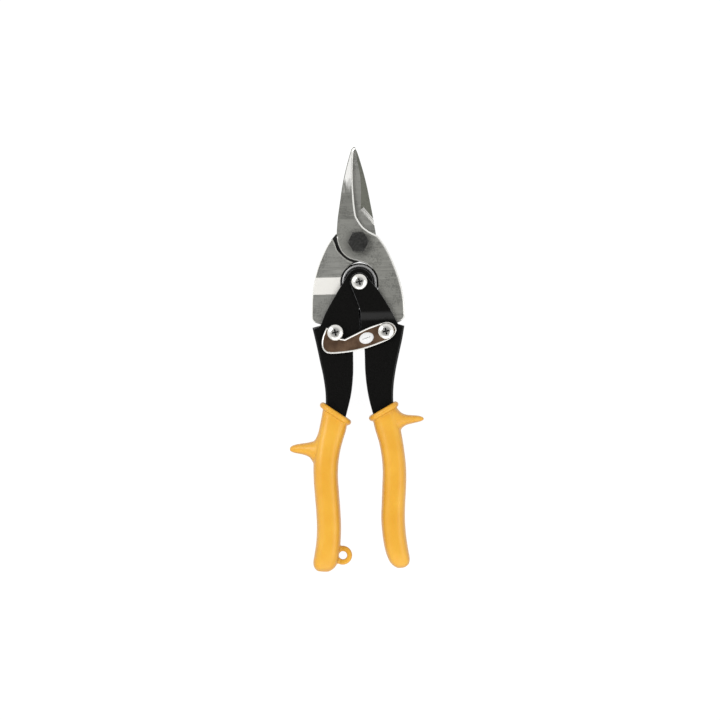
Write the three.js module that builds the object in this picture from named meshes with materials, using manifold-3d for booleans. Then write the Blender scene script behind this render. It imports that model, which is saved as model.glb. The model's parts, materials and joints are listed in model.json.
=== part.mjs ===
// Straight-cut aviation snips: two forged jaws, two folded steel handles with dipped grips,
// a compound linkage, a return spring and a hook latch. Millimetres, +Z up.
// The snips lie flat. X is across, Y runs along the tool towards the blade tips, and the
// origin is on the blade pivot's axis, at the bottom end of its bolt.
// Heights inside the model are measured from the tool's middle plane, where the blades meet.
import * as THREE from 'three';
import { mergeVertices } from 'three/addons/utils/BufferGeometryUtils.js';
import Module from 'manifold-3d';

const wasm = await Module();
wasm.setup();

// ---- Driving dimensions -------------------------------------------------------------
const MID_Z = 11.5; // middle plane above the resting surface, half the grips' depth
const GAP = 0.3; // clearance between neighbouring pieces
const JAW_T = 4.0; // thickness of one jaw at the pivot, half of the tang's
const BLADE_TIP_T = 1.9; // blade thickness at the tip
const BLADE_LENGTH = 57.0; // blade pivot to tip
const JAW_PIVOT = new THREE.Vector2(0, 0);
const LINK_X = 15.1; // handle-to-jaw pivots, either side of the centre line
const LINK_Y = -53.8;
const HANDLE_PIVOT_Y = -23.9; // where the two handles cross
const SHEET_T = 1.8; // handle sheet
const LOOP_CLEARANCE = 0.6; // extra play in the outer ears, where the linkage closes

const PIVOT_BOLT_R = 3.2;
const PIVOT_HEAD_AF = 11.2;
const PIVOT_HEAD_H = 5.0;
const PIVOT_WASHER_T = 1.1;
const PIVOT_WASHER_R = 7.5;
const PIVOT_NUT_H = MID_Z - JAW_T - PIVOT_WASHER_T - 2 * GAP - 1.2; // ends inside the bolt's end
const LINK_SCREW_R = 2.6;
const HANDLE_SCREW_R = 3.0;
const SCREW_HEAD_R = 4.7;
const SCREW_HEAD_H = 2.5;
const LINK_NUT_AF = 8.0;
const LINK_WASHER_T = 0.8;
const LINK_WASHER_R = 4.6;
const HANDLE_NUT_AF = 8.4;

const LATCH_T = 1.6;
const WAVE_WASHER_T = 0.4;
const WAVE_WASHER_R = 5.0;
const WAVE_PLAY = 0.25; // room on either side of the wave washer
const WIRE_R = 1.0; // return spring wire
const COIL_R = 9.6; // return spring, centre of the wire
const CUTOUT_R = COIL_R + WIRE_R + 0.6; // room for the coil between the jaws
const BUSH_R = 7.6; // bush inside the coil
const SHOULDER_GAP = 1.1; // between a jaw's head and the other jaw's shoulder
const TANG_END_R = 6.9; // rounded end of each tang, about its link pivot
const COLLAR_HALF_T = 1.9;
const GRIP_WALL = 2.2; // vinyl in front of and behind the handle's flanges
const HANG_HOLE_R = 3.2;
const HANG_RING_R = 5.7;
const HANG_TAB_T = 4.0;

// ---- Levels, from the middle plane ---------------------------------------------------
const FLANGE_IN = JAW_T + GAP; // inside face of a handle's flange, beside the tang
const FLANGE_OUT = FLANGE_IN + SHEET_T;
const EAR_IN = FLANGE_OUT + GAP; // the right handle's ears pass outside the left one's
const EAR_OUT = EAR_IN + SHEET_T;
const WAVE_Z = FLANGE_OUT + WAVE_PLAY;
const LATCH_Z = WAVE_Z + WAVE_WASHER_T + WAVE_PLAY;
const LINK_HEAD_Z = LATCH_Z + LATCH_T + GAP;
const HANDLE_HEAD_Z = EAR_OUT + GAP;
const LINK_WASHER_Z = -FLANGE_OUT - GAP;
const LINK_NUT_Z = LINK_WASHER_Z - LINK_WASHER_T - GAP;
const SCREW_END = 0.3; // screw showing beyond its nut, and its height above the bench
const LINK_NUT_H = MID_Z + LINK_NUT_Z - 2 * SCREW_END;
const GRIP_SLIM = FLANGE_OUT + GAP + GRIP_WALL; // half the grip's depth at its mouth

const HANDLE_PIVOT = new THREE.Vector2(0, HANDLE_PIVOT_Y);
const LEFT_LINK = new THREE.Vector2(-LINK_X, LINK_Y);
const RIGHT_LINK = new THREE.Vector2(LINK_X, LINK_Y);

// ---- Materials -----------------------------------------------------------------------
const finish = (color, roughness, metalness) =>
  new THREE.MeshStandardMaterial({ color, roughness, metalness });
const forgedSteel = () => finish(0x8a8a86, 0.42, 1.0);
const blackOxide = () => finish(0x2f3134, 0.5, 0.8);
const blackPaint = () => finish(0x101010, 0.25, 0.0);
const chrome = () => finish(0xd9dadb, 0.12, 1.0);
const springSteel = () => finish(0x8d9092, 0.35, 1.0);
const latchNickel = () => finish(0x6b5a50, 0.3, 1.0);
const zincSteel = () => finish(0xa7a9a8, 0.4, 1.0);
const yellowVinyl = () => finish(0xf7b33a, 0.45, 0.0);

// ---- Helpers -------------------------------------------------------------------------
const pt = (x, y) => new THREE.Vector2(x, y);
const mirrored = (points) => points.map((p) => pt(-p.x, p.y));
const points2 = (pairs) => pairs.map(([x, y]) => pt(x, y));

function solid(geometry) {
  const bare = geometry.clone();
  bare.deleteAttribute('normal');
  bare.deleteAttribute('uv');
  const merged = mergeVertices(bare, 1e-4);
  return new wasm.Manifold(new wasm.Mesh({
    numProp: 3,
    vertProperties: new Float32Array(merged.attributes.position.array),
    triVerts: new Uint32Array(merged.index.array),
  }));
}

function toGeometry(body) {
  const mesh = body.getMesh();
  const geometry = new THREE.BufferGeometry();
  geometry.setAttribute('position', new THREE.BufferAttribute(mesh.vertProperties, 3));
  geometry.setIndex(new THREE.BufferAttribute(mesh.triVerts, 1));
  geometry.computeVertexNormals();
  return geometry;
}

function part(name, body, material) {
  const geometry = body.isBufferGeometry ? body : toGeometry(body);
  const mesh = new THREE.Mesh(geometry, material);
  mesh.name = name;
  return mesh;
}

// A plate between two heights, with its edges rounded when bevel is given.
function plate(outline, z0, z1, bevel = 0, segments = 3) {
  const shape = new THREE.Shape(outline);
  const geometry = new THREE.ExtrudeGeometry(shape, {
    depth: z1 - z0 - 2 * bevel,
    steps: 1,
    bevelEnabled: bevel > 0,
    bevelThickness: bevel,
    bevelSize: bevel,
    bevelOffset: -bevel,
    bevelSegments: segments,
  });
  geometry.translate(0, 0, z0 + bevel);
  return solid(geometry);
}

// A profile drawn in Y and Z, extruded along X across the whole tool.
function sideSlab(profile) {
  const halfWidth = 60;
  const shape = new THREE.Shape(profile);
  const geometry = new THREE.ExtrudeGeometry(shape, { depth: 2 * halfWidth, bevelEnabled: false });
  geometry.rotateY(Math.PI / 2);
  geometry.rotateX(Math.PI / 2);
  geometry.translate(-halfWidth, 0, 0);
  return solid(geometry);
}

function cylinder(radius, z0, z1, centre = pt(0, 0), sides = 40) {
  const geometry = new THREE.CylinderGeometry(radius, radius, z1 - z0, sides);
  geometry.rotateX(Math.PI / 2);
  geometry.translate(centre.x, centre.y, (z0 + z1) / 2);
  return solid(geometry);
}

const spline = (points, divisions) => new THREE.SplineCurve(points).getPoints(divisions);

function arc(centre, radius, fromDeg, toDeg, divisions) {
  const rad = THREE.MathUtils.degToRad;
  const points = [];
  for (let i = 0; i <= divisions; i += 1) {
    const a = rad(fromDeg + ((toDeg - fromDeg) * i) / divisions);
    points.push(pt(centre.x + radius * Math.cos(a), centre.y + radius * Math.sin(a)));
  }
  return points;
}

// A strip of even thickness lying on the inner side of an edge line.
function strip(edge, thickness, side) {
  const inner = edge.map((p, i) => {
    const before = edge[Math.max(i - 1, 0)];
    const after = edge[Math.min(i + 1, edge.length - 1)];
    const along = after.clone().sub(before).normalize();
    return pt(p.x - side * along.y * thickness, p.y + side * along.x * thickness);
  });
  return [...edge, ...inner.reverse()];
}

function washer(name, innerR, outerR, z0, z1, material) {
  const profile = points2([[innerR, z0], [outerR, z0], [outerR, z1], [innerR, z1], [innerR, z0]]);
  const geometry = new THREE.LatheGeometry(profile, 32);
  geometry.rotateX(Math.PI / 2);
  return part(name, solid(geometry), material);
}

function hexNut(name, acrossFlats, holeR, z0, z1, material) {
  const corners = arc(pt(0, 0), acrossFlats / Math.sqrt(3), 0, 300, 5);
  const body = plate(corners, z0, z1).subtract(cylinder(holeR, z0 - 1, z1 + 1, pt(0, 0), 28));
  return part(name, body, material);
}

// A pan-head machine screw with a cross recess, head underside at headZ.
function panScrew(name, shankR, headZ, endZ, material) {
  const crown = 0.75 * SCREW_HEAD_R;
  const top = headZ + SCREW_HEAD_H;
  const profile = points2([[0, endZ], [shankR, endZ], [shankR, headZ], [SCREW_HEAD_R, headZ],
    [SCREW_HEAD_R, headZ + 0.9], [SCREW_HEAD_R - 0.5, headZ + 1.7], [crown, top - 0.25],
    [0.4 * SCREW_HEAD_R, top], [0, top]]);
  const geometry = new THREE.LatheGeometry(profile, 32);
  geometry.rotateX(Math.PI / 2);
  let body = solid(geometry);
  const slotLength = 5.0;
  const slotWidth = 1.1;
  const slotDepth = 1.4;
  for (const turn of [0, Math.PI / 2]) {
    const slot = new THREE.BoxGeometry(slotLength, slotWidth, 2 * slotDepth);
    slot.rotateZ(turn);
    slot.translate(0, 0, top);
    body = body.subtract(solid(slot));
  }
  return part(name, body, material);
}

function wire(name, path, steps, material) {
  const section = new THREE.Shape(arc(pt(0, 0), WIRE_R, 0, 315, 7));
  const geometry = new THREE.ExtrudeGeometry(section, { steps, extrudePath: path, bevelEnabled: false });
  return part(name, solid(geometry), material);
}

// ---- Jaws ----------------------------------------------------------------------------
// Each jaw is a half-thickness blade and head, with a full-thickness tang beyond a round
// shoulder. The front jaw's blade is on the left and its tang on the right.
// The blades' outlines are drawn for a blade of DRAWN_LENGTH, and follow BLADE_LENGTH.
const TIP = pt(-1.1, BLADE_LENGTH);
const DRAWN_LENGTH = 57.0;
const bladePoints = (pairs) => pairs.map(([x, y]) => pt(x, (y * BLADE_LENGTH) / DRAWN_LENGTH));

const frontBladeEdge = spline(bladePoints([[-2.6, 55.8], [-3.8, 52.5], [-6.4, 43.6],
  [-8.7, 34.0], [-10.3, 24.5], [-11.9, 14.9], [-12.7, 7.0]]), 14);
const frontHead = spline(points2([[-12.8, 3.6], [-12.1, -1.0], [-9.6, -6.2], [-5.6, -9.6],
  [0.3, -11.6], [4.0, -12.9], [7.2, -15.3]]), 18);
const frontCut = spline(bladePoints([[6.2, 6.5], [3.0, 9.2], [0.3, 13.1], [-1.2, 17.0], [-2.1, 27.0],
  [-2.5, 37.0], [-2.2, 47.4], [-1.5, 55.0]]), 20);
const rightTangEdge = spline(points2([[26.9, -43.4], [26.4, -34.0], [24.6, -24.5], [21.6, -15.0],
  [17.4, -5.2], [14.4, -0.2], [11.6, 3.6]]), 14);

const backBladeEdge = spline(bladePoints([[-0.2, 56.0], [1.0, 53.2], [3.8, 43.3],
  [6.0, 33.6], [7.7, 24.0], [9.3, 14.3], [10.4, 6.6]]), 14);
const backHead = spline(points2([[11.0, 2.6], [10.9, -1.6], [9.0, -6.6], [5.2, -10.1],
  [0, -11.6], [-4.0, -12.9], [-7.2, -15.3]]), 18);
const backCut = spline(bladePoints([[-7.4, 7.3], [-4.6, 9.6], [-3.2, 13.4], [-3.0, 20.0], [-3.5, 34.0],
  [-3.4, 45.0], [-2.5, 54.2]]), 20);
const leftTangEdge = spline(points2([[-29.1, -44.2], [-28.5, -32.7], [-27.1, -23.1], [-24.3, -13.6],
  [-20.1, -4.2], [-17.2, 0.6], [-13.4, 5.2]]), 14);

// The tang below the cut-out: round the coil, down to the rounded end, and up to the foot.
function tangInside(side) {
  const centre = pt(0, HANDLE_PIVOT_Y);
  const link = pt(LINK_X, LINK_Y);
  const around = arc(centre, CUTOUT_R, 44, 2, 8);
  const inner = points2([[CUTOUT_R, HANDLE_PIVOT_Y - 8], [LINK_X - TANG_END_R, LINK_Y + 7]]);
  const end = arc(link, TANG_END_R, 180, 350, 14);
  const foot = points2([[21.8, -48.6], [24.4, -47.6], [26.4, -45.8]]);
  const path = [...around, ...inner, ...end, ...foot];
  return side > 0 ? path : mirrored(path);
}

// The recess that the other jaw's head turns in: its radius, angle by angle, follows what the
// head sweeps as the jaws open, and it runs out upward past the root of the blade.
const HEAD_SWEEP = [[200, 12.5], [213, 11.6], [226, 11.3], [240, 11.3], [254, 11.3]];
function shoulder(side) {
  const reach = 2 * BLADE_LENGTH;
  const curve = spline(HEAD_SWEEP.map(([angle, radius]) => {
    const a = THREE.MathUtils.degToRad(angle);
    return pt(-side * (radius + SHOULDER_GAP) * Math.cos(a), (radius + SHOULDER_GAP) * Math.sin(a));
  }), 24);
  const up = THREE.MathUtils.degToRad(70);
  const away = pt(side * Math.cos(up), Math.sin(up)).multiplyScalar(reach).add(curve[0]);
  const end = curve[curve.length - 1];
  return [...curve, pt(-side * reach, end.y), pt(-side * reach, reach), away];
}

// Side is 1 for the jaw in front, whose tang is on the right, and -1 for the one behind.
function jaw(outline, side) {
  const far = JAW_T + 1;
  const levels = [side * JAW_T, (side * GAP) / 2];
  const blade = plate(outline, Math.min(...levels), Math.max(...levels));
  const tang = plate(outline, -JAW_T, JAW_T).subtract(plate(shoulder(side), -far, far));
  const link = pt(side * LINK_X, LINK_Y);
  return blade.add(tang)
    .subtract(cylinder(PIVOT_BOLT_R + GAP, -far, far, JAW_PIVOT))
    .subtract(cylinder(LINK_SCREW_R + GAP, -far, far, link));
}

const frontOutline = [TIP, ...frontBladeEdge, ...frontHead, ...tangInside(1), ...rightTangEdge,
  ...frontCut];
const backOutline = [TIP, ...backBladeEdge, ...backHead, ...tangInside(-1), ...leftTangEdge,
  ...backCut];

// The blades thin towards the tip, from a line just above the pivot.
const TAPER_START = 0.24 * BLADE_LENGTH;
function bladeTaper(side) {
  const over = JAW_T + 2;
  const profile = points2([[TAPER_START, JAW_T], [BLADE_LENGTH + 2, BLADE_TIP_T],
    [BLADE_LENGTH + 2, over], [TAPER_START, over]]);
  return sideSlab(side > 0 ? profile : profile.map((p) => pt(p.x, -p.y)));
}

// Ground bevel on the back blade's mating face, falling from its ridge to the outer edge.
function backBevel() {
  const ridge = spline(bladePoints([[-0.4, 58.0], [1.1, 46.2], [2.3, 38.0], [2.3, 28.0],
    [1.9, 19.8]]), 8);
  const top = BLADE_LENGTH + 1;
  const region = [...ridge, pt(14.0, 3.0), pt(20, 3), pt(20, top)];
  const wedge = new THREE.Shape(points2([[1.4, 0.2], [20, 0.2], [20, -3.9], [11, -2.0]]));
  const geometry = new THREE.ExtrudeGeometry(wedge, { depth: top, bevelEnabled: false });
  geometry.rotateX(Math.PI / 2);
  geometry.translate(0, top, 0);
  return plate(region, -JAW_T, JAW_T).intersect(solid(geometry));
}

const frontJaw = jaw(frontOutline, 1).subtract(bladeTaper(1));
const backJaw = jaw(backOutline, -1).subtract(bladeTaper(-1)).subtract(backBevel());

// ---- Handles -------------------------------------------------------------------------
// Folded channels: a web along the outer edge and a flange in front and behind, drawn out
// into ears that meet at the handle pivot.
const LEFT_EAR_R = 8.2;
const RIGHT_EAR_R = 5.6;
const TAIL_Y = -180;

const leftOuter = spline(points2([[-28.8, -50.6], [-26.5, -61.6], [-24.7, -71.2], [-22.9, -80.9],
  [-21.9, -92.0], [-22.8, -104.0], [-26.6, -120.0], [-28.2, -138.0], [-27.3, -160.0],
  [-27.8, TAIL_Y]]), 22);
const leftInner = spline(points2([[-17.6, TAIL_Y], [-17.0, -160.0], [-17.8, -138.0],
  [-14.4, -118.0], [-9.7, -102.8], [-6.6, -90.9], [-5.1, -78.9], [-4.8, -66.9]]), 18);
const rightOuter = spline(points2([[26.3, -50.8], [24.7, -59.0], [22.6, -67.6], [20.4, -77.2],
  [18.9, -86.7], [18.5, -96.0], [19.4, -108.0], [21.9, -122.0], [22.9, -138.0], [21.7, -160.0],
  [22.4, TAIL_Y]]), 22);
const rightInner = spline(points2([[12.6, TAIL_Y], [11.9, -160.0], [13.1, -138.0], [10.6, -120.0],
  [6.6, -105.0], [3.6, -92.0], [2.2, -79.0], [2.1, -66.9]]), 18);

const leftFlange = [...leftOuter, ...leftInner, ...points2([[-4.6, -62.0], [-0.6, -57.0],
  [-0.6, -40.0]]),
  ...arc(HANDLE_PIVOT, LEFT_EAR_R, -20, 140, 16), ...points2([[-13.4, -29.6], [-19.8, -40.2],
    [-24.0, -49.4]])];
const rightFlange = [...rightOuter, ...rightInner, ...points2([[2.0, -62.0], [0.2, -57.0],
  [0.2, -41.0]]),
  ...arc(HANDLE_PIVOT, RIGHT_EAR_R, 200, 35, 16), ...points2([[11.8, -29.8], [17.8, -40.0],
    [22.6, -49.6]])];

// Side profile of one flange: straight for the left handle, stepped outward for the right.
function flangeProfile(stepped) {
  const low = TAIL_Y - 10;
  const high = 10;
  const stepStart = -46;
  const stepEnd = -41.5;
  if (!stepped) {
    return points2([[low, FLANGE_IN], [high, FLANGE_IN], [high, FLANGE_OUT], [low, FLANGE_OUT]]);
  }
  return points2([[low, FLANGE_IN], [stepStart, FLANGE_IN], [stepEnd, EAR_IN], [high, EAR_IN],
    [high, EAR_OUT], [stepEnd - 0.6, EAR_OUT], [stepStart - 0.6, FLANGE_OUT], [low, FLANGE_OUT]]);
}

function handle(outer, flangeOutline, stepped, side, link, pivotHoleR) {
  const tall = EAR_OUT + 1;
  const whole = plate(flangeOutline, -tall, tall);
  const front = flangeProfile(stepped);
  const behind = front.map((p) => pt(p.x, -p.y));
  const web = plate(strip(outer, SHEET_T, side), -FLANGE_OUT, FLANGE_OUT);
  let body = whole.intersect(sideSlab(front)).add(whole.intersect(sideSlab(behind))).add(web);
  body = body.subtract(cylinder(pivotHoleR, -tall, tall, HANDLE_PIVOT));
  return body.subtract(cylinder(LINK_SCREW_R + GAP, -tall, tall, link));
}

// Behind, the left handle's ear is a disc that closes the coil's cut-out, and its flange laps
// past the front gap between the two handles; the right handle's flange is cut back for it.
const BACK_EAR_R = CUTOUT_R + 0.4;
const LAP_X = 1.2;
function lap(fromX, toX, lowZ, highZ) {
  return plate(points2([[fromX, -57], [toX, -57], [toX, -40], [fromX, -40]]), lowZ, highZ);
}
const pivotHole = HANDLE_SCREW_R + GAP;
const backEar = cylinder(BACK_EAR_R, -FLANGE_OUT, -FLANGE_IN, HANDLE_PIVOT, 56)
  .subtract(cylinder(pivotHole, -FLANGE_OUT - 1, -FLANGE_IN + 1, HANDLE_PIVOT));
const leftHandle = handle(leftOuter, leftFlange, false, 1, LEFT_LINK, pivotHole)
  .add(backEar)
  .add(lap(-1.5, LAP_X, -FLANGE_OUT, -FLANGE_IN));
const rightHandle = handle(rightOuter, rightFlange, true, -1, RIGHT_LINK, pivotHole + LOOP_CLEARANCE)
  .subtract(lap(-2.0, LAP_X + GAP, -FLANGE_OUT - GAP, 0));

// ---- Grips ---------------------------------------------------------------------------
const leftGripOutline = spline(points2([[-24.2, -99.0], [-26.0, -110.0], [-29.2, -121.0],
  [-30.5, -134.0], [-30.1, -147.0], [-29.2, -162.0], [-29.4, -173.0], [-31.2, -186.0],
  [-31.6, -192.0], [-28.8, -196.6], [-23.6, -197.0], [-18.2, -193.6], [-15.6, -184.0],
  [-14.7, -168.0], [-15.2, -152.0], [-15.8, -139.0], [-14.8, -127.0], [-11.6, -116.0],
  [-9.0, -108.0]]), 44);
const rightGripOutline = spline(points2([[20.6, -99.0], [22.0, -110.0], [23.9, -121.0],
  [25.2, -134.0], [24.8, -148.0], [23.8, -162.0], [24.0, -173.0], [25.4, -186.0],
  [25.6, -191.8], [22.4, -195.8], [17.4, -195.4], [13.2, -191.2], [10.9, -182.0],
  [9.5, -166.0], [10.2, -151.0], [11.1, -138.0], [10.2, -124.0], [8.0, -115.0],
  [5.8, -107.0]]), 44);
const leftThumb = spline(points2([[-24.8, -109.0], [-26.8, -115.6], [-30.6, -119.2],
  [-40.6, -120.8], [-44.1, -123.2], [-40.9, -125.2], [-34.6, -126.1], [-31.2, -129.2],
  [-29.6, -134.0]]), 24);
const rightThumb = spline(points2([[19.8, -100.0], [22.2, -102.9], [26.0, -104.6], [34.4, -105.6],
  [36.2, -107.2], [34.0, -108.9], [26.0, -110.3], [22.6, -113.4]]), 24);

// Collar: a rolled bead across the mouth of the grip.
function collar(from, to) {
  const heading = THREE.MathUtils.radToDeg(Math.atan2(to.y - from.y, to.x - from.x));
  const outline = [...arc(to, COLLAR_HALF_T, heading - 90, heading + 90, 6),
    ...arc(from, COLLAR_HALF_T, heading + 90, heading + 270, 6)];
  return plate(outline, -MID_Z, MID_Z, 1.4, 2);
}

// Depth of the grip seen from the side: slim at the collar, full in the palm, round at the end.
const gripProfile = [[-85, GRIP_SLIM], [-108, GRIP_SLIM], [-122, (GRIP_SLIM + MID_Z) / 2],
  [-136, MID_Z], [-176, MID_Z], [-188, 0.92 * MID_Z], [-195, 0.73 * MID_Z], [-200, 0.35 * MID_Z]];

function grip(outline, thumb, bead, outer, inner) {
  const front = spline(points2(gripProfile), 20);
  const slab = sideSlab([...front, ...front.map((p) => pt(p.x, -p.y)).reverse()]);
  const palmRounding = 2.8;
  const thumbHalf = 6.5;
  const body = plate(outline, -MID_Z, MID_Z, palmRounding).intersect(slab)
    .add(plate(thumb, -thumbHalf, thumbHalf))
    .add(bead);
  const side = Math.sign(inner[0].x - outer[outer.length - 1].x);
  const floor = (p) => (p.y <= TAIL_Y ? p.y - GAP : p.y);
  const pocket = [...outer.map((p) => pt(p.x - side * GAP, floor(p))),
    ...inner.map((p) => pt(p.x + side * GAP, floor(p)))];
  return body.subtract(plate(pocket, -FLANGE_OUT - GAP, FLANGE_OUT + GAP));
}

const leftBead = collar(pt(-23.6, -98.4), pt(-9.2, -108.2));
const rightBead = collar(pt(19.6, -98.9), pt(5.6, -106.6));
const hangTab = cylinder(HANG_RING_R, -HANG_TAB_T / 2, HANG_TAB_T / 2, pt(-14.2, -187.4), 32);
const hangHole = cylinder(HANG_HOLE_R, -HANG_TAB_T, HANG_TAB_T, pt(-14.0, -187.4), 32);
const leftGrip = grip(leftGripOutline, leftThumb, leftBead, leftOuter, leftInner)
  .add(hangTab).subtract(hangHole);
const rightGrip = grip(rightGripOutline, rightThumb, rightBead, rightOuter, rightInner);

// ---- Latch ---------------------------------------------------------------------------
const hookClear = SCREW_HEAD_R + 0.1; // hook's inside edge to the link screw's axis
const latchOutline = [
  ...spline(points2([[-20.4, -50.8], [-22.6, -55.6], [-23.5, -60.4], [-22.4, -64.4], [-18.4, -66.4],
    [-7.1, -65.8], [1.8, -64.1], [11.6, -61.0], [18.2, -58.0], [21.4, -53.6], [19.9, -49.9],
    [16.4, -48.3], [11.9, -49.1], [4.6, -51.4], [-3.4, -55.0], [-9.6, -57.9]]), 40),
  ...arc(LEFT_LINK, hookClear, -60, -180, 12),
  pt(-LINK_X - hookClear + 0.5, LINK_Y + 2.6),
];
const thumbBump = (() => {
  const geometry = new THREE.SphereGeometry(1, 24, 12);
  geometry.scale(4.4, 3.3, 1.6);
  geometry.rotateZ(THREE.MathUtils.degToRad(18));
  geometry.translate(3.4, -57.6, LATCH_Z + LATCH_T - 0.2);
  return solid(geometry);
})();
const aboveLatch = plate(points2([[-40, -80], [40, -80], [40, -40], [-40, -40]]), LATCH_Z + 0.3,
  LATCH_Z + 10);
const latchBody = plate(latchOutline, LATCH_Z, LATCH_Z + LATCH_T)
  .add(thumbBump.intersect(aboveLatch))
  .subtract(cylinder(LINK_SCREW_R + GAP, LATCH_Z - 1, LATCH_Z + LATCH_T + 1, RIGHT_LINK));

// ---- Return spring -------------------------------------------------------------------
// The coil sits round the bush between the ears. The wire leaves the left and right sides
// of the coil as legs that run down between the tangs and bear on the handles' webs. The
// coil's last turn and its leg are a piece of their own, so that each leg keeps to its handle.
class CoilPath extends THREE.Curve {
  constructor(fromDeg, sweepDeg, z0, z1, leg) {
    super();
    this.from = THREE.MathUtils.degToRad(fromDeg);
    this.sweep = THREE.MathUtils.degToRad(sweepDeg);
    this.z0 = z0;
    this.z1 = z1;
    this.leg = new THREE.CatmullRomCurve3(leg);
    this.legLength = this.leg.getLength();
    this.coilLength = Math.abs(this.sweep) * COIL_R;
  }

  getPoint(t, target = new THREE.Vector3()) {
    const split = this.legLength / (this.legLength + this.coilLength);
    if (t < split) {
      return this.leg.getPointAt(t / split, target);
    }
    const u = (t - split) / (1 - split);
    const a = this.from + this.sweep * u;
    return target.set(COIL_R * Math.cos(a), HANDLE_PIVOT_Y + COIL_R * Math.sin(a),
      this.z0 + (this.z1 - this.z0) * u);
  }
}

function springLeg(side, z, footX) {
  const x = side * COIL_R;
  return [[footX, -86, 0], [side * 12.5, -77, 0], [side * 8.4, -67, z * 0.4],
    [side * 6.9, -56, z * 0.8], [side * 7.4, -44, z], [x * 0.97, -32, z],
    [x, HANDLE_PIVOT_Y, z]].map(([a, b, c]) => new THREE.Vector3(a, b, c));
}

const COIL_LOW = -(FLANGE_IN - GAP - WIRE_R);
const COIL_TOP = -COIL_LOW;
const COIL_PITCH = 2.13 * WIRE_R;
const coilPath = new CoilPath(180, -540, COIL_LOW, COIL_LOW + 1.5 * COIL_PITCH,
  springLeg(-1, COIL_LOW, -17.0));
const legPath = new CoilPath(0, 332, COIL_TOP, COIL_TOP - 0.4 * WIRE_R,
  springLeg(1, COIL_TOP, 14.6));

// ---- Assembly ------------------------------------------------------------------------
const backBody = new THREE.Group();
backBody.add(part('back_jaw', backJaw, forgedSteel()));

const boltHeadZ = JAW_T + GAP;
const washerTop = -JAW_T - GAP;
const nutTop = washerTop - PIVOT_WASHER_T - GAP;
const boltHead = plate(arc(pt(0, 0), PIVOT_HEAD_AF / Math.sqrt(3), 0, 300, 5), boltHeadZ,
  boltHeadZ + PIVOT_HEAD_H);
const bolt = part('blade_pivot_bolt', boltHead.add(cylinder(PIVOT_BOLT_R, -MID_Z, boltHeadZ + 1)),
  blackOxide());
backBody.add(bolt);
backBody.add(washer('blade_pivot_washer', PIVOT_BOLT_R + GAP, PIVOT_WASHER_R, washerTop - PIVOT_WASHER_T,
  washerTop, zincSteel()));
backBody.add(hexNut('blade_pivot_nut', PIVOT_HEAD_AF, PIVOT_BOLT_R + GAP, nutTop - PIVOT_NUT_H,
  nutTop, blackOxide()));

const frontBody = new THREE.Group();
frontBody.add(part('front_jaw', frontJaw, forgedSteel()));

function linkFasteners(prefix, link) {
  const group = new THREE.Group();
  const hole = LINK_SCREW_R + GAP;
  group.add(panScrew(`${prefix}_link_screw`, LINK_SCREW_R, LINK_HEAD_Z, SCREW_END - MID_Z,
    chrome()));
  group.add(washer(`${prefix}_link_washer`, hole, LINK_WASHER_R, LINK_WASHER_Z - LINK_WASHER_T,
    LINK_WASHER_Z, zincSteel()));
  group.add(hexNut(`${prefix}_link_nut`, LINK_NUT_AF, hole, LINK_NUT_Z - LINK_NUT_H, LINK_NUT_Z,
    zincSteel()));
  group.position.set(link.x, link.y, 0);
  return group;
}

const leftBody = new THREE.Group();
leftBody.add(part('left_handle', leftHandle, blackPaint()));
leftBody.add(part('left_grip', leftGrip, yellowVinyl()));
leftBody.add(linkFasteners('left', LEFT_LINK));
const crossing = new THREE.Group();
crossing.position.set(0, HANDLE_PIVOT_Y, 0);
crossing.add(panScrew('handle_pivot_screw', HANDLE_SCREW_R, HANDLE_HEAD_Z, SCREW_END / 2 - MID_Z,
  chrome()));
crossing.add(hexNut('handle_pivot_nut', HANDLE_NUT_AF, HANDLE_SCREW_R + GAP, SCREW_END - MID_Z,
  -EAR_OUT - GAP, zincSteel()));
crossing.add(washer('spring_bush', HANDLE_SCREW_R + GAP, BUSH_R, -FLANGE_IN + GAP, FLANGE_IN - GAP,
  zincSteel()));
leftBody.add(crossing);
leftBody.add(wire('return_spring', coilPath, 64, springSteel()));

const rightBody = new THREE.Group();
rightBody.add(part('right_handle', rightHandle, blackPaint()));
rightBody.add(part('right_grip', rightGrip, yellowVinyl()));
rightBody.add(linkFasteners('right', RIGHT_LINK));
rightBody.add(wire('return_spring_right_leg', legPath, 48, springSteel()));
const waveWasher = washer('latch_wave_washer', LINK_SCREW_R + GAP, WAVE_WASHER_R, WAVE_Z,
  WAVE_Z + WAVE_WASHER_T, springSteel());
waveWasher.position.set(LINK_X, LINK_Y, 0);
rightBody.add(waveWasher);

const latch = part('latch', latchBody, latchNickel());

const group = new THREE.Group();
group.add(backBody, frontBody, leftBody, rightBody, latch);
group.position.set(0, 0, MID_Z);

export default group;
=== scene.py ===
"""Straight-cut aviation snips, lying flat on a pale bench under soft studio light.

Every shape is drawn in millimetres in the frame's own axes: X across, Y along the tool towards
the blade tips, Z up from the bench. piece_from turns it into metres as a piece is made.
"""
import json
import math

import bmesh
import bpy
from mathutils import Matrix, Vector


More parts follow.
